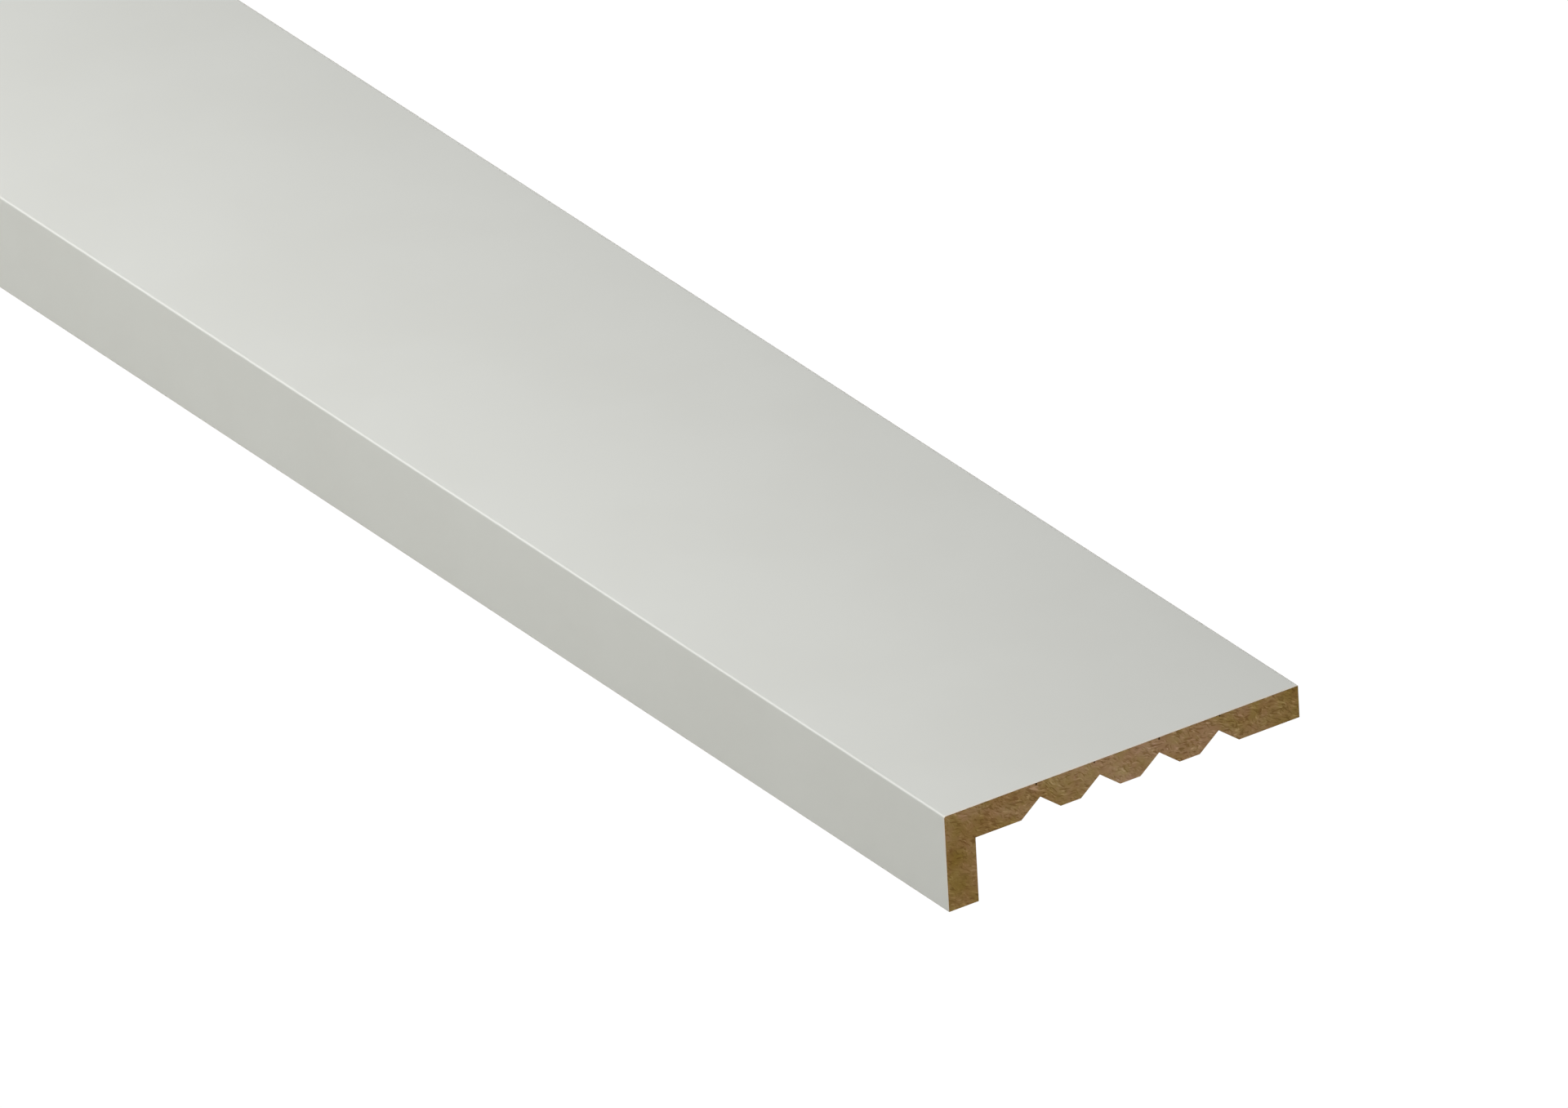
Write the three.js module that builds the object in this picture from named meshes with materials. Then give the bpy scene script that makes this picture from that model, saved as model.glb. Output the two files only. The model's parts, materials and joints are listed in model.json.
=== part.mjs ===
// Cover strip: a fibreboard moulding, an L in section, that slips over the edge and the face
// of an older board. The wide leg and the short lip are white outside and bare inside.
// Four V grooves run along the back of the wide leg.
//
// Millimetres, +Z up. +X runs along the strip to the cut end that shows, +Y crosses it from
// the lip to the plain far edge, and +Z points out of the wide white face, so the lip hangs
// down. The origin is at mid length on the back of the wide leg, on the land between the two
// middle grooves, which is what lies against the covered board.

import * as THREE from 'three';

// Overall sizes
const STRIP_LENGTH = 600;
const LEG_WIDTH = 119;
const LIP_DEPTH = 30;
const BOARD_THICKNESS = 10;

// The outer edge where the two white faces meet is eased by a small radius
const EASED_RADIUS = 0.5;
const EASED_HALF_FACETS = 2;

// The grooves, placed by their apexes and counted from the lip's outer face
const GROOVE_COUNT = 4;
const GROOVE_PITCH = 20;
const FIRST_GROOVE = 32;
const GROOVE_WIDTH = 13.2;
const GROOVE_DEPTH = 5.2;

// The white face's colour and its satin gloss
const COAT_COLOUR = 0xdcddd9;
const COAT_ROUGHNESS = 0.45;

const grooveApexes = Array.from({ length: GROOVE_COUNT }, (_, i) => FIRST_GROOVE + i * GROOVE_PITCH);
const middleLand = FIRST_GROOVE + ((GROOVE_COUNT - 1) * GROOVE_PITCH) / 2;

// One V groove in the back of the wide leg, walked from its far side to its near side.
function cutGroove(outline, apex) {
  outline.lineTo(apex + GROOVE_WIDTH / 2, -BOARD_THICKNESS);
  outline.lineTo(apex, -BOARD_THICKNESS + GROOVE_DEPTH);
  outline.lineTo(apex - GROOVE_WIDTH / 2, -BOARD_THICKNESS);
}

// The section, with x measured across the strip from the lip's outer face and y measured
// up from the plane of the wide white face.
function stripSection() {
  const outline = new THREE.Shape();
  outline.absarc(EASED_RADIUS, -EASED_RADIUS, EASED_RADIUS, Math.PI, Math.PI / 2, true);
  outline.lineTo(LEG_WIDTH, 0);
  outline.lineTo(LEG_WIDTH, -BOARD_THICKNESS);
  [...grooveApexes].reverse().forEach((apex) => cutGroove(outline, apex));
  outline.lineTo(BOARD_THICKNESS, -BOARD_THICKNESS);
  outline.lineTo(BOARD_THICKNESS, -LIP_DEPTH);
  outline.lineTo(0, -LIP_DEPTH);
  outline.closePath();
  return outline;
}

// The strip: the section pushed along +X, with the middle land's centre at the origin.
function coverStrip() {
  const geometry = new THREE.ExtrudeGeometry(stripSection(), {
    depth: STRIP_LENGTH,
    bevelEnabled: false,
    curveSegments: EASED_HALF_FACETS,
  });
  const coat = new THREE.MeshStandardMaterial({
    color: COAT_COLOUR,
    roughness: COAT_ROUGHNESS,
    metalness: 0,
  });
  const strip = new THREE.Mesh(geometry, coat);
  strip.name = 'cover_strip';
  strip.rotation.set(Math.PI / 2, Math.PI / 2, 0);
  strip.position.set(-STRIP_LENGTH / 2, -middleLand, BOARD_THICKNESS);
  return strip;
}

const part = new THREE.Group();
part.add(coverStrip());

export default part;
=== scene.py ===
"""The cover strip, dressed: a white faced fibreboard moulding, an L in section.

Lengths are in metres, except the sizes and places of the finishes' patterns, which are in
millimetres. +X runs along the strip, +Y crosses it from the lip to the plain far edge, and +Z
points out of the wide white face. Within the section, "across" is measured from the lip's
outer face and "down" from the white face.
"""

from __future__ import annotations

import json
import logging
import math
from dataclasses import dataclass, field
from enum import IntEnum
from typing import Any, NamedTuple, Sequence

import bpy
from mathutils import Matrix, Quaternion, Vector, noise

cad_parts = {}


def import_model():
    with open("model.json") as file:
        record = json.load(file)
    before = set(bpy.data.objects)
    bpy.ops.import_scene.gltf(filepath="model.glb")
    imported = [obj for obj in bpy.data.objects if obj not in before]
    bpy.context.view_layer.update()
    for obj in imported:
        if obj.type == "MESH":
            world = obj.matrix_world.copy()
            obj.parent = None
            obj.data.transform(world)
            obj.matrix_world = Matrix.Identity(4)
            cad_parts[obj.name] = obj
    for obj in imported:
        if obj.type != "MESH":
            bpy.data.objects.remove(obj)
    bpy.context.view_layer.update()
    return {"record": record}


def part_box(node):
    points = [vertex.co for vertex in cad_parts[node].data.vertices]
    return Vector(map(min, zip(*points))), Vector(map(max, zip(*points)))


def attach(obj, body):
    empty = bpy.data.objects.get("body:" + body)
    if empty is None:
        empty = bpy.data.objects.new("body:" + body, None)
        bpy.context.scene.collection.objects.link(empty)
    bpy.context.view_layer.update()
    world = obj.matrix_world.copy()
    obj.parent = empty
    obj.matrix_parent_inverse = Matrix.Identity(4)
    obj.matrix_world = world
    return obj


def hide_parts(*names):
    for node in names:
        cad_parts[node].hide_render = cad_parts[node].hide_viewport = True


LOG = logging.getLogger("cover_strip")

MM = 0.001
NODE = "cover_strip"
BODY = "root"
PIECE = "white_faced_cover_strip"
# The point layer that holds how deep each point lies in a split, which sets its painted shade
SPLIT_SHADE_LAYER = "split"

# The share of a step that may be lost to rounding
ROUNDING = 1e-9

# A noise value's average, and how much each finer octave of it keeps
NOISE_MEAN = 0.5
NOISE_ROUGHNESS = 0.55

# The numbers of a colour mix's sockets: its share and two colours, and its result
MIX_INPUTS = (0, 6, 7)
MIX_RESULT = 2

# Where a ramp of three colours has them
THREE_STOPS = (0.0, 0.5, 1.0)

Colour = tuple[float, float, float, float]
WHITE: Colour = (1.0, 1.0, 1.0, 1.0)


class Face(IntEnum):
    """The two finishes of the strip, in the order of its material slots."""

    COAT = 0
    BOARD = 1


class Side(IntEnum):
    """The two sawn ends of the strip, each as the sign of its place along X."""

    NEAR = 1
    FAR = -1


class Spot(NamedTuple):
    """One point of the section, in metres."""

    across: float
    down: float


# A column and row of the section's grid, and the points that lie there
Cell = tuple[int, int]
Spots = dict[Cell, Spot]


def fractions(count: int) -> list[float]:
    """Evenly spaced shares from 0 to 1.

    Args:
        count: how many steps lie between 0 and 1.

    Returns:
        The count + 1 shares, both ends included.
    """
    return [i / count for i in range(count + 1)]


def quarter_turn(radius: float, count: int) -> list[float]:
    """Distances from an upright side at which a quarter round is cut into equal angles.

    Args:
        radius: the round's radius.
        count: how many facets it gets.

    Returns:
        The distances, from 0 at the side to the radius.
    """
    return [radius * (1 - math.cos(math.pi / 2 * t)) for t in fractions(count)]


def round_drop(radius: float, inset: float) -> float:
    """How far a rounded corner lies below the flat face beside it.

    Args:
        radius: the round's radius.
        inset: the distance from the upright side.

    Returns:
        The drop, which is 0 beyond the round.
    """
    if inset >= radius:
        return 0.0
    reach = radius - max(inset, 0.0)
    return radius - math.sqrt(radius * radius - reach * reach)


def spread(stops: Sequence[float], spacing: float) -> list[float]:
    """Fills the gaps between stops evenly.

    Args:
        stops: rising values that are all kept.
        spacing: the widest step allowed.

    Returns:
        The stops and the values between them.
    """
    values = [stops[0]]
    for low, high in zip(stops, stops[1:]):
        count = max(1, math.ceil((high - low) / spacing - ROUNDING))
        values += [low + (high - low) * t for t in fractions(count)[1:]]
    return values


@dataclass(frozen=True)
class StripSection:
    """The outline of the moulding: a wide leg, a lip, an eased edge and the back's grooves."""

    width: float
    lip_depth: float
    board: float
    # Rounds of the long white edge and of the bare edges
    eased_radius: float = 0.55 * MM
    arris_radius: float = 0.12 * MM
    # Grooves in the back
    groove_count: int = 4
    groove_pitch: float = 20 * MM
    first_groove: float = 32 * MM
    groove_width: float = 13.2 * MM
    groove_depth: float = 5.2 * MM
    # Facets of the rounds, and the least gap beside a further column
    round_facets: int = 8
    arris_facets: int = 3
    least_gap: float = 0.03 * MM

    def grooves(self) -> list[float]:
        """The distances across at which the grooves have their apexes."""
        return [self.first_groove + i * self.groove_pitch for i in range(self.groove_count)]

    def face(self, across: float) -> float:
        """How far down the white face lies, at a distance across the strip."""
        near = round_drop(self.eased_radius, across)
        return near + round_drop(self.arris_radius, self.width - across)

    def back(self, across: float) -> float:
        """How far down the back of the wide leg lies.

        Args:
            across: the distance from the lip's outer face.

        Returns:
            The depth, which is less over a groove and at the far edge's round.
        """
        half = self.groove_width / 2
        rise = max((1 - abs(across - g) / half for g in self.grooves()), default=0.0)
        rounded = round_drop(self.arris_radius, self.width - across)
        return self.board - self.groove_depth * max(rise, 0.0) - rounded

    def lip_end(self, across: float) -> float:
        """How far down the lip's lower edge lies, at a distance across the lip."""
        side = min(across, self.board - across)
        return self.lip_depth - round_drop(self.arris_radius, side)

    def lip_stations(self, spacing: float) -> list[float]:
        """The distances across at which the lip is cut into columns.

        Args:
            spacing: the widest step allowed.

        Returns:
            The distances, from the outer face to the inner one.
        """
        outer = quarter_turn(self.eased_radius, self.round_facets)
        inner = [self.board - d for d in quarter_turn(self.arris_radius, self.arris_facets)]
        return outer[:-1] + spread([outer[-1], inner[-1]], spacing) + inner[::-1][1:]

    def leg_stations(self, spacing: float, fine: Sequence[float]) -> list[float]:
        """The distances across at which the wide leg is cut into columns.

        Args:
            spacing: the widest step allowed.
            fine: further distances that get a column of their own.

        Returns:
            The distances, from the lip's inner face to the far edge.
        """
        half = self.groove_width / 2
        edge = [self.width - d for d in quarter_turn(self.arris_radius, self.arris_facets)][::-1]
        corners = [self.board]
        for apex in self.grooves():
            corners += [apex - half, apex, apex + half]
        kept = set(corners + edge)
        for value in fine:
            if min(abs(value - k) for k in kept) > self.least_gap:
                kept.add(value)
        stops = sorted(k for k in kept if k <= edge[0])
        return spread(stops, spacing) + edge[1:]


@dataclass(frozen=True)
class Split:
    """A short split in the board, which starts just under the white face at a cut end; it is cut
    into the sawn relief, and its darkness is painted shade.
    """

    across: float
    height: float
    strength: float
    width: float = 0.62 * MM
    depth: float = 0.5 * MM

    def share(self, spot: Spot) -> float:
        """How deep a point lies in the split.

        Args:
            spot: the point of the section.

        Returns:
            A value from 0 outside the split to its strength in the middle.
        """
        a = (spot.across - self.across) / (self.width / 2)
        b = spot.down / (self.height / 2) - 1.0
        return self.strength * max(0.0, 1.0 - a * a - b * b)


@dataclass(frozen=True)
class CutEnd:
    """One sawn end of the strip: its relief and the splits over the grooves."""

    splits: tuple[Split, ...]
    seed: float
    # Lumps of the sawn relief, and how deep they are
    coarse_grain: float = 1.3 * MM
    fine_grain: float = 0.45 * MM
    coarse_depth: float = 0.035 * MM
    fine_depth: float = 0.02 * MM

    def split_shade_share(self, spot: Spot) -> float:
        """How deep a point lies in the nearest split, from 0 to 1, which sets the painted shade
        there.
        """
        return max((s.share(spot) for s in self.splits), default=0.0)

    def relief(self, spot: Spot) -> float:
        """How far the sawn face lies behind the true end.

        Args:
            spot: the point of the section.

        Returns:
            The distance, from the saw's two grains and the deepest split there.
        """
        coarse = self.grain(spot, self.coarse_grain) * self.coarse_depth
        fine = self.grain(spot, self.fine_grain) * self.fine_depth
        deep = max((s.share(spot) * s.depth for s in self.splits), default=0.0)
        return coarse + fine + deep

    def grain(self, spot: Spot, size: float) -> float:
        """Smooth noise between 0 and 1, with lumps of the given size."""
        place = Vector((spot.across / size, spot.down / size, self.seed))
        return min(1.0, max(0.0, 0.5 + 0.5 * noise.noise(place)))


class Graph:
    """The node tree of one material, with short ways to add and join its nodes."""

    def __init__(self, name: str) -> None:
        """Makes the material, with its standard shader ready.

        Args:
            name: the material's name.
        """
        self.material = bpy.data.materials.new(name)
        self.material.use_nodes = True
        self.tree = self.material.node_tree
        self.shader = self.tree.nodes["Principled BSDF"]

    def feed(self, socket: bpy.types.NodeSocket, value: Any) -> None:
        """Joins a socket to another node's output, or sets its own value.

        Args:
            socket: the input to feed.
            value: an output, or a value of the socket's own.
        """
        if isinstance(value, bpy.types.NodeSocket):
            self.tree.links.new(value, socket)
        else:
            socket.default_value = value

    def give(self, name: str, value: Any) -> None:
        """Feeds one input of the material's own shader."""
        self.feed(self.shader.inputs[name], value)

    def node(self, kind: str, inputs: dict[Any, Any], **settings: Any) -> bpy.types.Node:
        """Adds a node.

        Args:
            kind: the node's type.
            inputs: values or outputs for its inputs, by name or number.
            settings: the node's own properties.

        Returns:
            The new node.
        """
        made = self.tree.nodes.new(kind)
        for key, value in settings.items():
            setattr(made, key, value)
        for key, value in inputs.items():
            self.feed(made.inputs[key], value)
        return made

    def sum(self, kind: str, a: Any, b: Any = 0.0, c: Any = 0.0) -> bpy.types.NodeSocket:
        """The result of one arithmetic step on up to three values."""
        return self.node("ShaderNodeMath", {0: a, 1: b, 2: c}, operation=kind).outputs[0]

    def noise(self, place: Any, scale: float, detail: float = 2.0) -> bpy.types.NodeSocket:
        """A noise value, read at a place.

        Args:
            place: the point.
            scale: how many lumps there are to a unit of length.
            detail: how many finer octaves are added.

        Returns:
            The value, from 0 to 1.
        """
        inputs = {"Vector": place, "Scale": scale, "Detail": detail}
        inputs["Roughness"] = NOISE_ROUGHNESS
        return self.node("ShaderNodeTexNoise", inputs).outputs["Fac"]

    def band(self, value: Any, low: float, high: float) -> bpy.types.NodeSocket:
        """A smooth step.

        Args:
            value: the value that is looked at.
            low: where the step leaves 0.
            high: where it comes to 1.

        Returns:
            The step's value.
        """
        inputs = {"Value": value, "From Min": low, "From Max": high}
        made = self.node("ShaderNodeMapRange", inputs, interpolation_type="SMOOTHSTEP")
        return made.outputs["Result"]

    def blend(self, share: Any, a: Any, b: Any, kind: str = "MIX") -> bpy.types.NodeSocket:
        """Two colours blended.

        Args:
            share: how far the second colour acts, from 0 to 1.
            a: the first colour.
            b: the second colour.
            kind: the way they are blended.

        Returns:
            The blended colour.
        """
        made = self.node("ShaderNodeMix", {}, data_type="RGBA", blend_type=kind)
        for number, value in zip(MIX_INPUTS, (share, a, b)):
            self.feed(made.inputs[number], value)
        return made.outputs[MIX_RESULT]

    def vector(self, kind: str, a: Any, b: Any, c: Any = (0.0, 0.0, 0.0)) -> bpy.types.NodeSocket:
        """The result of one step of vector arithmetic."""
        return self.node("ShaderNodeVectorMath", {0: a, 1: b, 2: c}, operation=kind).outputs[0]

    def part(self, vector: Any, axis: str) -> bpy.types.NodeSocket:
        """One coordinate of a vector."""
        return self.node("ShaderNodeSeparateXYZ", {0: vector}).outputs[axis]

    def ramp(self, value: Any, stops: Sequence[tuple[float, Colour]]) -> bpy.types.NodeSocket:
        """A colour looked up between stops.

        Args:
            value: the value that is looked up.
            stops: two or more rising places from 0 to 1, each with its colour.

        Returns:
            The colour.
        """
        made = self.node("ShaderNodeValToRGB", {0: value})
        steps = made.color_ramp.elements
        steps[0].position, steps[0].color = stops[0]
        steps[1].position, steps[1].color = stops[-1]
        for position, colour in stops[1:-1]:
            steps.new(position).color = colour
        return made.outputs["Color"]

    def sized(self, place: Any, size: Sequence[float], turn: float = 0.0,
              start: Sequence[float] = (0.0, 0.0, 0.0)) -> bpy.types.NodeSocket:
        """A place counted in steps of its own size along each axis.

        Args:
            place: the point.
            size: the three steps.
            turn: how far the second and third axes are turned about the first, in radians.
            start: the point that the steps are counted from.

        Returns:
            The point in those steps.
        """
        inputs = {"Vector": place, "Location": tuple(start), "Scale": tuple(size)}
        inputs["Rotation"] = (turn, 0.0, 0.0)
        return self.node("ShaderNodeMapping", inputs, vector_type="TEXTURE").outputs["Vector"]

    def millimetres(self) -> bpy.types.NodeSocket:
        """The point on the object, counted in millimetres."""
        place = self.node("ShaderNodeTexCoord", {}).outputs["Object"]
        return self.sized(place, (MM, MM, MM))

    def bump(self, height: Any, strength: float, distance: float) -> None:
        """Gives the shader a bumped normal."""
        inputs = {"Height": height, "Strength": strength, "Distance": distance}
        self.give("Normal", self.node("ShaderNodeBump", inputs).outputs["Normal"])


@dataclass(frozen=True)
class SatinCoat:
    """The white coat: smooth, satin, with a trace of orange peel and of uneven tone.

    Where the saw has cut the strip to length, the coat's last millimetre is painted lighter and
    warmer: a painted highlight, as where the end's edge catches the light.
    """

    half_length: float
    # Tone, with slow clouds
    tone: Colour = (0.733, 0.740, 0.696, 1.0)
    deeper_tone: Colour = (0.721, 0.727, 0.682, 1.0)
    cloud_scale: float = 0.018
    cloud_detail: float = 3.0
    cloud_band: tuple[float, float] = (0.35, 0.65)
    # Orange peel and gloss
    peel_scale: float = 0.55
    peel_height: float = 0.004 * MM
    peel_strength: float = 0.35
    roughness: tuple[float, float] = (0.40, 0.47)
    refraction: float = 1.47
    # Painted highlight: a lighter, warmer rim of the coat at the cut ends
    end_highlight_tone: Colour = (0.789, 0.742, 0.664, 1.0)
    end_highlight_width: float = 1.2
    end_highlight_waver: float = 0.6
    waver_scale: float = 1.0

    def end_highlight(self, graph: Graph, place: Any) -> bpy.types.NodeSocket:
        """How much painted highlight the coat gets near a cut end.

        Args:
            graph: the material's nodes.
            place: the point, in millimetres.

        Returns:
            A value that falls from 1 at a cut end to 0 further in.
        """
        along = graph.sum("ABSOLUTE", graph.part(place, "X"))
        inside = graph.sum("SUBTRACT", self.half_length / MM, along)
        waver = graph.sum("SUBTRACT", graph.noise(place, self.waver_scale), NOISE_MEAN)
        inside = graph.sum("MULTIPLY_ADD", waver, self.end_highlight_waver, inside)
        return graph.sum("SUBTRACT", 1.0, graph.band(inside, 0.0, self.end_highlight_width))

    def material(self) -> bpy.types.Material:
        """The coat's material.

        Returns:
            The material, with its colour, a painted highlight at the cut ends, roughness and
            orange peel.
        """
        graph = Graph("white_satin_coat")
        place = graph.millimetres()
        clouds = graph.noise(place, self.cloud_scale, self.cloud_detail)
        colour = graph.blend(graph.band(clouds, *self.cloud_band), self.deeper_tone, self.tone)
        # Painted highlight: the coat is lighter and warmer within about a millimetre of each cut
        # end
        colour = graph.blend(self.end_highlight(graph, place), colour, self.end_highlight_tone)
        graph.give("Base Color", colour)
        peel = graph.noise(place, self.peel_scale)
        low, high = self.roughness
        graph.give("Roughness", graph.sum("MULTIPLY_ADD", peel, high - low, low))
        graph.bump(peel, self.peel_strength, self.peel_height)
        graph.give("IOR", self.refraction)
        return graph.material


@dataclass(frozen=True)
class FibreLayer:
    """One family of fibres in the board: the size of its lumps in millimetres, and its weight.

    The sizes are taken along the strip, along the fibres and across them. The slope is that of
    the fibres on a sawn end, in radians, and a layer with a negative weight is darker. The start
    is the point, in millimetres, that the lumps are counted from, and so it picks the board.
    """

    size: tuple[float, float, float]
    slope: float
    weight: float
    detail: float = 2.0
    start: tuple[float, float, float] = (0.0, 0.0, 0.0)


@dataclass(frozen=True)
class BareFibreboard:
    """Sawn and machined fibreboard: brown, with slanting fibres, short strokes and blotches.

    A slow value, dark at 0 and pale at 1, gives the board its colour from place to place. The
    fibres add a fine value, 0 on average, which shades that colour.
    """

    # Colours of the slow value, and the shades that the fine value lays over them
    dark: Colour = (0.253, 0.143, 0.001, 1.0)
    middle: Colour = (0.406, 0.242, 0.082, 1.0)
    pale: Colour = (0.571, 0.370, 0.205, 1.0)
    fine_dark: Colour = (0.666, 0.608, 0.476, 1.0)
    fine_pale: Colour = (1.500, 1.645, 2.100, 1.0)
    # Slow value: its level, blotches, and a paler middle of the strip's width
    level: float = 0.475
    blotches: FibreLayer = FibreLayer(
        (16.0, 16.0, 9.0), slope=-0.4, weight=1.1, detail=1.0, start=(-684.0, -123.0, -125.0)
    )
    paler_middle: float = 0.16
    middle_reach: tuple[float, float] = (12.0, 50.0)
    # Fine value: soft streaks, and strokes that stand in busy and in sparse patches
    streaks: tuple[FibreLayer, ...] = (
        FibreLayer((3.0, 5.0, 1.2), slope=-0.50, weight=0.50),
        FibreLayer((0.5, 0.9, 0.35), slope=-0.42, weight=0.42),
    )
    strokes: tuple[FibreLayer, ...] = (
        FibreLayer((2.0, 2.6, 0.60), slope=-0.60, weight=-0.58, detail=0.5),
        FibreLayer((1.8, 2.3, 0.50), slope=-0.20, weight=-0.50, detail=0.5),
        FibreLayer((1.4, 1.8, 0.50), slope=-1.0, weight=-0.40, detail=0.5),
        FibreLayer((2.0, 2.6, 0.55), slope=-0.50, weight=0.42, detail=0.5),
    )
    stroke_band: tuple[float, float] = (0.60, 0.69)
    patch_size: float = 7.0
    patch_start: tuple[float, float, float] = (-285.0, 131.0, 201.0)
    patch_band: tuple[float, float] = (0.38, 0.60)
    sparse_share: float = 0.45
    # Drift of hue
    tint_size: float = 5.0
    tint_start: tuple[float, float, float] = (-342.0, -177.0, 157.0)
    tint_band: tuple[float, float] = (0.36, 0.64)
    olive_tint: Colour = (0.955, 1.012, 0.860, 1.0)
    rust_tint: Colour = (1.045, 0.990, 1.140, 1.0)
    # Planer's lines, on all faces but the two that face along the strip
    planer_lines: FibreLayer = FibreLayer((70.0, 0.6, 0.6), slope=0.0, weight=0.55)
    end_facing: float = 0.5
    # Bending of the fibres
    warp: float = 2.8
    warp_size: float = 5.0
    warp_detail: float = 1.0
    # Painted shade in the splits at the sawn ends: the dark colour stands in for the shade inside
    # them
    split_shade_tone: Colour = (0.065, 0.028, 0.003, 1.0)
    split_shade_band: tuple[float, float] = (0.0, 0.4)
    # Gloss and relief
    roughness: float = 0.86
    specular: float = 0.3
    relief: float = 0.05 * MM
    relief_strength: float = 0.5

    def lumps(self, graph: Graph, place: Any, layer: FibreLayer) -> bpy.types.NodeSocket:
        """The noise of one layer, about 0.5."""
        turned = graph.sized(place, layer.size, layer.slope, layer.start)
        return graph.noise(turned, 1.0, layer.detail)

    def strokes_of(self, graph: Graph, place: Any, layer: FibreLayer) -> bpy.types.NodeSocket:
        """Separate long strokes, 1 where the stretched noise of a layer is high and 0 between."""
        return graph.band(self.lumps(graph, place, layer), *self.stroke_band)

    def bent(self, graph: Graph, place: Any) -> bpy.types.NodeSocket:
        """The point pushed about smoothly, so that the fibres curve.

        Args:
            graph: the material's nodes.
            place: the point, in millimetres.

        Returns:
            The moved point.
        """
        inputs = {"Vector": place, "Scale": 1 / self.warp_size, "Detail": self.warp_detail}
        drift = graph.node("ShaderNodeTexNoise", inputs).outputs["Color"]
        centred = graph.vector("SUBTRACT", drift, (NOISE_MEAN,) * 3)
        return graph.vector("MULTIPLY_ADD", centred, (self.warp,) * 3, place)

    def weigh(self, graph: Graph, value: Any, lumps: Any, weight: Any) -> bpy.types.NodeSocket:
        """Adds a layer's share, which is 0 on average, to the value."""
        return graph.sum("MULTIPLY_ADD", graph.sum("SUBTRACT", lumps, NOISE_MEAN), weight, value)

    def slow_value(self, graph: Graph, place: Any, bent: Any) -> bpy.types.NodeSocket:
        """The board's slow tone: its blotches, and a paler middle of its width.

        Args:
            graph: the material's nodes.
            place: the point, in millimetres.
            bent: the same point, moved.

        Returns:
            The tone, dark at 0 and pale at 1.
        """
        blotches = self.lumps(graph, bent, self.blotches)
        value = self.weigh(graph, self.level, blotches, self.blotches.weight)
        aside = graph.sum("ABSOLUTE", graph.part(place, "Y"))
        middle = graph.sum("SUBTRACT", 1.0, graph.band(aside, *self.middle_reach))
        return graph.sum("MULTIPLY_ADD", middle, self.paler_middle, value)

    def fine_value(self, graph: Graph, place: Any, bent: Any) -> bpy.types.NodeSocket:
        """What the fibres add to the tone, and the planer's lines on the machined faces.

        Args:
            graph: the material's nodes.
            place: the point, in millimetres.
            bent: the same point, moved.

        Returns:
            The addition, which is 0 on average.
        """
        value: Any = 0.0
        for layer in self.streaks:
            value = self.weigh(graph, value, self.lumps(graph, bent, layer), layer.weight)
        patches = graph.sized(place, (self.patch_size,) * 3, start=self.patch_start)
        thick = graph.band(graph.noise(patches, 1.0), *self.patch_band)
        patchy = graph.sum("MULTIPLY_ADD", thick, 1.0 - self.sparse_share, self.sparse_share)
        for layer in self.strokes:
            stroke = graph.sum("MULTIPLY", self.strokes_of(graph, bent, layer), patchy)
            value = graph.sum("MULTIPLY_ADD", stroke, layer.weight, value)
        normal = graph.node("ShaderNodeTexCoord", {}).outputs["Normal"]
        facing = graph.sum("ABSOLUTE", graph.part(normal, "X"))
        machined = graph.sum("LESS_THAN", facing, self.end_facing)
        lines = self.lumps(graph, place, self.planer_lines)
        share = graph.sum("MULTIPLY", machined, self.planer_lines.weight)
        return self.weigh(graph, value, lines, share)

    def material(self) -> bpy.types.Material:
        """The bare board's material.

        Returns:
            The material, with its fibres, drift of hue, painted shade in the splits, and relief.
        """
        graph = Graph("bare_fibreboard")
        place = graph.millimetres()
        bent = self.bent(graph, place)
        slow = self.slow_value(graph, place, bent)
        fine = self.fine_value(graph, place, bent)
        tones = list(zip(THREE_STOPS, (self.dark, self.middle, self.pale)))
        colour = graph.ramp(slow, tones)
        shades = list(zip(THREE_STOPS, (self.fine_dark, WHITE, self.fine_pale)))
        shade = graph.ramp(graph.sum("ADD", fine, THREE_STOPS[1]), shades)
        colour = graph.blend(1.0, colour, shade, "MULTIPLY")
        tints = graph.sized(place, (self.tint_size,) * 3, start=self.tint_start)
        hues = list(zip(self.tint_band, (self.olive_tint, self.rust_tint)))
        tint = graph.ramp(graph.noise(tints, 1.0), hues)
        colour = graph.blend(1.0, colour, tint, "MULTIPLY")
        # Painted shade: the sawn end is darkened where it lies deep in a split
        split = graph.node("ShaderNodeAttribute", {}, attribute_name=SPLIT_SHADE_LAYER).outputs["Fac"]
        colour = graph.blend(graph.band(split, *self.split_shade_band), colour, self.split_shade_tone)
        graph.give("Base Color", colour)
        graph.give("Roughness", self.roughness)
        graph.give("Specular IOR Level", self.specular)
        graph.bump(graph.sum("ADD", slow, fine), self.relief_strength, self.relief)
        return graph.material


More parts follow.
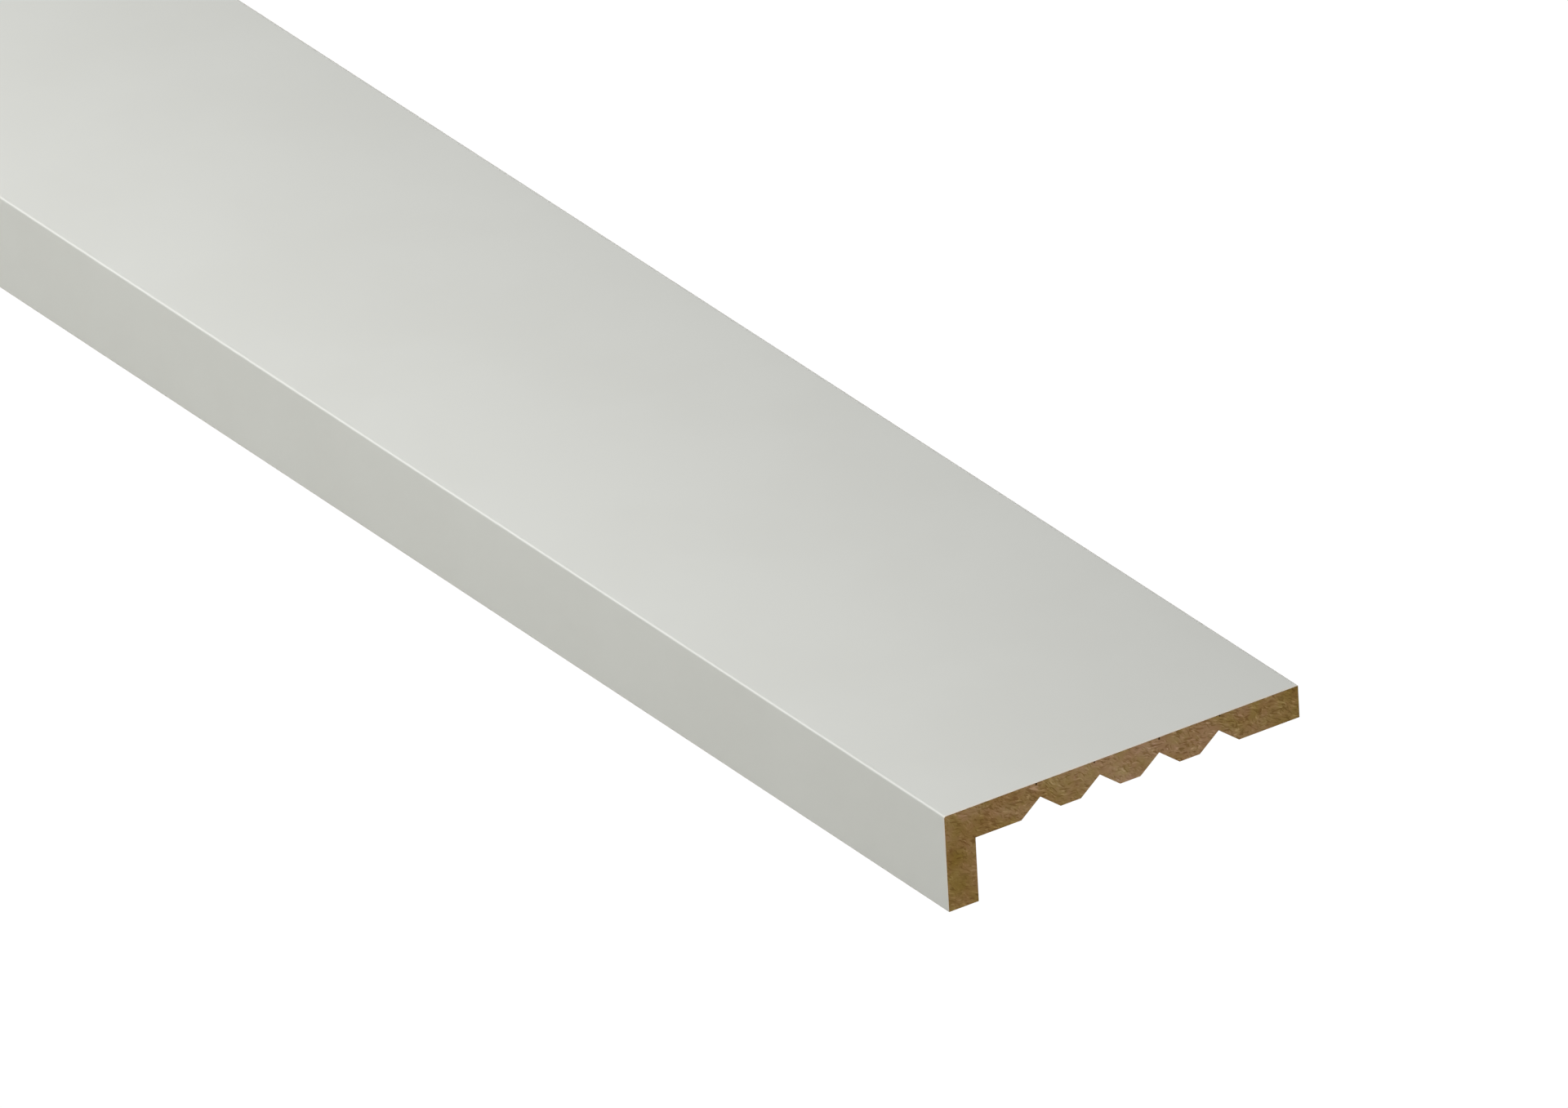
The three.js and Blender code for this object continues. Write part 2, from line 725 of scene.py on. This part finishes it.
@dataclass
class CoverStrip:
    """The strip itself, in one piece: the board with its white faces and its two sawn ends."""

    section: StripSection
    length: float
    lip_side: float
    top: float
    near_end: CutEnd
    far_end: CutEnd
    # Spacing of the mesh, which is finer at the splits
    column_step: float = 0.5 * MM
    lengthwise_steps: int = 24
    fine_step: float = 0.1 * MM
    split_reach: float = 0.5 * MM
    # Close rows under the white face, in millimetres
    face_rows: tuple[float, ...] = (0.0, 0.2, 0.3, 0.4, 0.5, 0.6, 0.7, 0.8, 0.9, 1.0, 1.2)
    # Chamfer of the cut ends, and the least cosine that may stretch it at a corner
    end_chamfer: float = 0.05 * MM
    least_cosine: float = 0.5
    # Angle between faces from which an edge stays sharp
    crease: float = math.radians(30)
    # The mesh as it grows
    points: list[Vector] = field(default_factory=list)
    faces: list[tuple[int, ...]] = field(default_factory=list)
    finishes: list[int] = field(default_factory=list)
    # How deep each point lies in a split, for the board's painted shade
    split_shade_shares: list[float] = field(default_factory=list)

    def columns(self) -> tuple[list[float], int]:
        """Where the section is cut into columns.

        Returns:
            The distances across, and the number of the column at the lip's inner face.
        """
        places = {s.across for end in (self.near_end, self.far_end) for s in end.splits}
        half = round(self.split_reach / self.fine_step)
        fine = sorted(p + k * self.fine_step for p in places for k in range(-half, half + 1))
        lip = self.section.lip_stations(self.column_step)
        return lip + self.section.leg_stations(self.column_step, fine)[1:], len(lip) - 1

    def leg_rows(self) -> list[float]:
        """Where the wide leg's columns are cut into rows.

        Returns:
            The shares of the leg's depth, close together under the white face.
        """
        depth = self.section.board
        close = [row * MM for row in self.face_rows]
        return [d / depth for d in close[:-1] + spread([close[-1], depth], self.column_step)]

    def grid(self) -> tuple[Spots, list[Cell]]:
        """The section's points by column and row, and the closed walk round its outline.

        Returns:
            The points, and the walk's column and row pairs, clockwise seen from +X.
        """
        section = self.section
        across, inner = self.columns()
        rows = self.leg_rows()
        last, deep = len(across) - 1, len(rows) - 1
        lip_drop = fractions(round((section.lip_depth - section.board) / self.column_step))[1:]
        spots: Spots = {}
        for i, a in enumerate(across):
            high, low = section.face(a), section.back(a)
            for j, share in enumerate(rows):
                spots[i, j] = Spot(a, high + (low - high) * share)
            if i <= inner:
                for k, share in enumerate(lip_drop, 1):
                    spots[i, deep + k] = Spot(a, low + (section.lip_end(a) - low) * share)
        foot = deep + len(lip_drop)
        walk = [(i, 0) for i in range(last + 1)]
        walk += [(last, j) for j in range(1, deep + 1)]
        walk += [(i, deep) for i in range(last - 1, inner - 1, -1)]
        walk += [(inner, j) for j in range(deep + 1, foot + 1)]
        walk += [(i, foot) for i in range(inner - 1, -1, -1)]
        walk += [(0, j) for j in range(foot - 1, 0, -1)]
        return spots, walk

    def add_point(self, x: float, spot: Spot, split: float = 0.0) -> int:
        """Adds a point to the mesh.

        Args:
            x: the place along the strip.
            spot: the point of the section.
            split: how deep it lies in a split, from 0 to 1, which sets its painted shade.

        Returns:
            The point's number.
        """
        self.points.append(Vector((x, self.lip_side + spot.across, self.top - spot.down)))
        self.split_shade_shares.append(split)
        return len(self.points) - 1

    def add_face(self, corners: Sequence[int], finish: Face, turned: bool = False) -> None:
        """Adds one face with its finish, wound the other way if turned."""
        self.faces.append(tuple(reversed(corners)) if turned else tuple(corners))
        self.finishes.append(int(finish))

    def coated(self, spot: Spot) -> bool:
        """Whether a point of the outline carries the white coat.

        Args:
            spot: the point of the section.

        Returns:
            True on the wide white face, the long edge and the lip's outer face.
        """
        section = self.section
        on_face = spot.down <= section.eased_radius
        on_lip = spot.across <= 0.0 and spot.down <= section.lip_depth - section.arris_radius
        return on_lip or (on_face and spot.across <= section.width - section.arris_radius)

    def inset(self, outline: list[Spot]) -> list[Spot]:
        """The outline drawn in by the chamfer of the cut ends.

        Args:
            outline: the section's points, clockwise seen from +X.

        Returns:
            The same number of points, each moved into the board.
        """
        moved = []
        earlier = outline[-1:] + outline[:-1]
        later = outline[1:] + outline[:1]
        for before, here, after in zip(earlier, outline, later):
            normals = []
            for a, b in ((before, here), (here, after)):
                along = Vector((b.across - a.across, b.down - a.down)).normalized()
                normals.append(Vector((-along.y, along.x)))
            middle = (normals[0] + normals[1]).normalized()
            stretch = 1 / max(middle.dot(normals[0]), self.least_cosine)
            step = middle * self.end_chamfer * stretch
            moved.append(Spot(here.across + step.x, here.down + step.y))
        return moved

    def build_skin(self, outline: list[Spot]) -> tuple[list[int], list[int]]:
        """Runs the outline along the strip.

        Args:
            outline: the section's points, clockwise seen from +X.

        Returns:
            The point numbers of the first and the last ring.
        """
        half = self.length / 2 - self.end_chamfer
        places = [half - 2 * half * t for t in fractions(self.lengthwise_steps)]
        rings = [[self.add_point(x, spot) for spot in outline] for x in places]
        for first, second in zip(rings, rings[1:]):
            self.join(first, second, outline)
        return rings[0], rings[-1]

    def join(self, first: list[int], second: list[int], outline: list[Spot]) -> None:
        """Closes the band between two rings.

        Args:
            first: the point numbers of the ring nearer to +X.
            second: those of the other ring.
            outline: the section's points that the rings follow.
        """
        count = len(outline)
        for k in range(count):
            n = (k + 1) % count
            white = self.coated(outline[k]) and self.coated(outline[n])
            corners = (first[k], first[n], second[n], second[k])
            self.add_face(corners, Face.COAT if white else Face.BOARD)

    def build_end(self, end: CutEnd, ring: list[int], side: Side, spots: Spots,
                  walk: list[Cell]) -> None:
        """Closes one end with its sawn face.

        Args:
            end: the sawn face's relief.
            ring: the skin's ring there.
            side: which of the two ends it is.
            spots: the section's points by column and row.
            walk: the outline's column and row pairs.
        """
        x = side * self.length / 2
        outline = [spots[key] for key in walk]
        rim = {key: self.add_point(x, spot) for key, spot in zip(walk, self.inset(outline))}
        edge = [rim[key] for key in walk]
        self.join(*((edge, ring) if side is Side.NEAR else (ring, edge)), outline)
        numbers = dict(rim)
        for key, spot in spots.items():
            if key not in numbers:
                place = x - side * end.relief(spot)
                numbers[key] = self.add_point(place, spot, end.split_shade_share(spot))
        for i, j in spots:
            corners = [(i, j), (i, j + 1), (i + 1, j + 1), (i + 1, j)]
            if all(corner in numbers for corner in corners):
                turned = side is Side.FAR
                self.add_face([numbers[c] for c in corners], Face.BOARD, turned)

    def build(self) -> bpy.types.Object:
        """Makes the strip's mesh.

        Returns:
            The new object, linked to the scene.
        """
        spots, walk = self.grid()
        first, last = self.build_skin([spots[key] for key in walk])
        self.build_end(self.near_end, first, Side.NEAR, spots, walk)
        self.build_end(self.far_end, last, Side.FAR, spots, walk)
        mesh = bpy.data.meshes.new(PIECE)
        mesh.from_pydata(self.points, [], self.faces)
        mesh.polygons.foreach_set("material_index", self.finishes)
        layer = mesh.attributes.new(SPLIT_SHADE_LAYER, "FLOAT", "POINT")
        layer.data.foreach_set("value", self.split_shade_shares)
        mesh.shade_smooth()
        mesh.set_sharp_from_angle(angle=self.crease)
        strip = bpy.data.objects.new(PIECE, mesh)
        bpy.context.scene.collection.objects.link(strip)
        return strip

    def dress(self, strip: bpy.types.Object) -> None:
        """Gives the strip its two finishes and its place in the frame.

        Args:
            strip: the built piece.
        """
        for material in (SatinCoat(self.length / 2).material(), BareFibreboard().material()):
            strip.data.materials.append(material)
        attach(strip, BODY)
        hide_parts(NODE)


@dataclass(frozen=True)
class SoftLight:
    """One rectangular soft box, turned towards a point."""

    name: str
    place: tuple[float, float, float]
    aim: tuple[float, float, float]
    size: tuple[float, float]
    power: float
    colour: tuple[float, float, float] = (1.0, 1.0, 1.0)

    def build(self) -> None:
        """Adds the light to the scene."""
        data = bpy.data.lights.new(self.name, "AREA")
        data.shape = "RECTANGLE"
        data.size, data.size_y = self.size
        data.energy = self.power
        data.color = self.colour
        lamp = bpy.data.objects.new(self.name, data)
        lamp.location = self.place
        lamp.rotation_mode = "QUATERNION"
        towards = Vector(self.aim) - Vector(self.place)
        lamp.rotation_quaternion = towards.to_track_quat("-Z", "Y")
        bpy.context.scene.collection.objects.link(lamp)


@dataclass(frozen=True)
class Studio:
    """A white floor and surround, with a key light over the lip and two soft fills."""

    floor_height: float = -0.15
    floor_half: float = 4.0
    floor_tone: Colour = (0.638, 0.640, 0.593, 1.0)
    surround: float = 0.045
    seen_white: float = 1.03
    lights: tuple[SoftLight, ...] = (
        SoftLight("key", place=(-0.35, -0.395, 0.66), aim=(-0.35, 0.0, 0.0), size=(2.2, 0.3),
                  power=12.6, colour=(1.0, 1.0, 1.006)),
        SoftLight("end_fill", place=(1.30, 0.20, -0.06), aim=(0.3, 0.0, 0.0), size=(0.5, 0.12),
                  power=2.3),
        SoftLight("back_fill", place=(-0.8, 1.2, -0.06), aim=(0.0, 0.0, -0.03), size=(1.2, 0.15),
                  power=3.0),
    )

    def build_floor(self) -> None:
        """Adds the floor, which the camera sees as plain white and which lights the back."""
        h, z = self.floor_half, self.floor_height
        mesh = bpy.data.meshes.new("floor")
        mesh.from_pydata([(-h, -h, z), (h, -h, z), (h, h, z), (-h, h, z)], [], [(0, 1, 2, 3)])
        graph = Graph("white_floor")
        matt = graph.node("ShaderNodeBsdfDiffuse", {"Color": self.floor_tone}).outputs[0]
        white = graph.node("ShaderNodeEmission", {"Strength": self.seen_white}).outputs[0]
        seen = graph.node("ShaderNodeLightPath", {}).outputs["Is Camera Ray"]
        mixed = graph.node("ShaderNodeMixShader", {0: seen, 1: matt, 2: white}).outputs[0]
        graph.feed(graph.tree.nodes["Material Output"].inputs["Surface"], mixed)
        mesh.materials.append(graph.material)
        floor = bpy.data.objects.new("floor", mesh)
        bpy.context.scene.collection.objects.link(floor)

    def build_surround(self) -> None:
        """Sets the world: plain white to the camera, and a low even light on the strip."""
        world = bpy.data.worlds.new("surround")
        bpy.context.scene.world = world
        world.use_nodes = True
        tree = world.node_tree
        back = tree.nodes["Background"]
        back.inputs["Color"].default_value = WHITE
        seen = tree.nodes.new("ShaderNodeLightPath").outputs["Is Camera Ray"]
        level = tree.nodes.new("ShaderNodeMapRange")
        level.inputs["To Min"].default_value = self.surround
        level.inputs["To Max"].default_value = self.seen_white
        tree.links.new(seen, level.inputs["Value"])
        tree.links.new(level.outputs["Result"], back.inputs["Strength"])

    def build(self) -> None:
        """Builds the floor, the surround and the lights, and keeps colours as they are."""
        view = bpy.context.scene.view_settings
        view.view_transform = "Standard"
        view.look = "None"
        view.exposure = 0.0
        view.gamma = 1.0
        self.build_floor()
        self.build_surround()
        for light in self.lights:
            light.build()


@dataclass(frozen=True)
class PhotoCamera:
    """A long lens, far off, because the photo shows the strip's long edges parallel."""

    # Lens and sensor, in millimetres
    lens: float = 1200.0
    sensor_width: float = 36.0
    # Angles, in degrees
    azimuth: float = 57.089
    elevation: float = 28.327
    roll: float = 3.128
    # Distance from the point aimed at, and that point
    distance: float = 14.538
    aim: tuple[float, float, float] = (0.14597, -0.01007, 0.010)

    def build(self) -> None:
        """Makes the camera and gives it to the scene."""
        a, e = math.radians(self.azimuth), math.radians(self.elevation)
        back = Vector((math.sin(a) * math.cos(e), -math.cos(a) * math.cos(e), math.sin(e)))
        data = bpy.data.cameras.new("camera")
        data.lens = self.lens
        data.sensor_width = self.sensor_width
        data.clip_end = 2 * self.distance
        camera = bpy.data.objects.new("camera", data)
        camera.location = Vector(self.aim) + back * self.distance
        camera.rotation_mode = "QUATERNION"
        level = (-back).to_track_quat("-Z", "Y")
        camera.rotation_quaternion = Quaternion(back, -math.radians(self.roll)) @ level
        bpy.context.scene.collection.objects.link(camera)
        bpy.context.scene.camera = camera


def board_thickness(record: dict[str, Any], lip_side: float) -> float:
    """The board's thickness, from the mount on the lip's inner face.

    Args:
        record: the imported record.
        lip_side: where the lip's outer face lies along Y.

    Returns:
        The thickness in metres.
    """
    inner = next(m for m in record["mounts"] if m["name"] == "lip_inner_face")
    return inner["pos_m"][1] - lip_side


def cut_ends(section: StripSection) -> tuple[CutEnd, CutEnd]:
    """The two sawn ends, each with one split near every groove's apex.

    Args:
        section: the strip's section.

    Returns:
        The end at +X, and the one at -X.
    """
    offsets = [-1.06 * MM, -1.59 * MM, 0.20 * MM, 0.59 * MM]
    heights = [1.0 * MM, 0.75 * MM, 1.0 * MM, 0.8 * MM]
    strengths = [0.8, 0.7, 1.0, 0.5]
    apexes = section.grooves()
    kinds = list(zip(apexes, offsets, heights, strengths))
    near = tuple(Split(apex + shift, height, strength) for apex, shift, height, strength in kinds)
    far = tuple(Split(apex - shift, height, strength) for apex, shift, height, strength in kinds)
    return CutEnd(near, seed=3.0), CutEnd(far, seed=11.0)


def main() -> None:
    """Builds the dressed strip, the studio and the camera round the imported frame."""
    logging.basicConfig(level=logging.INFO, format="%(name)s: %(message)s")
    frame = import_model()
    low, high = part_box(NODE)
    board = board_thickness(frame["record"], low.y)
    section = StripSection(width=high.y - low.y, lip_depth=high.z - low.z, board=board)
    near, far = cut_ends(section)
    PhotoCamera().build()
    strip = CoverStrip(section, length=high.x - low.x, lip_side=low.y, top=high.z,
                       near_end=near, far_end=far)
    piece = strip.build()
    strip.dress(piece)
    LOG.info("%s: %d faces, board %.1f mm", piece.name, len(strip.faces), board / MM)
    studio = Studio()
    studio.build()
    LOG.info("studio: %d lights", len(studio.lights))


if __name__ == "__main__":
    main()
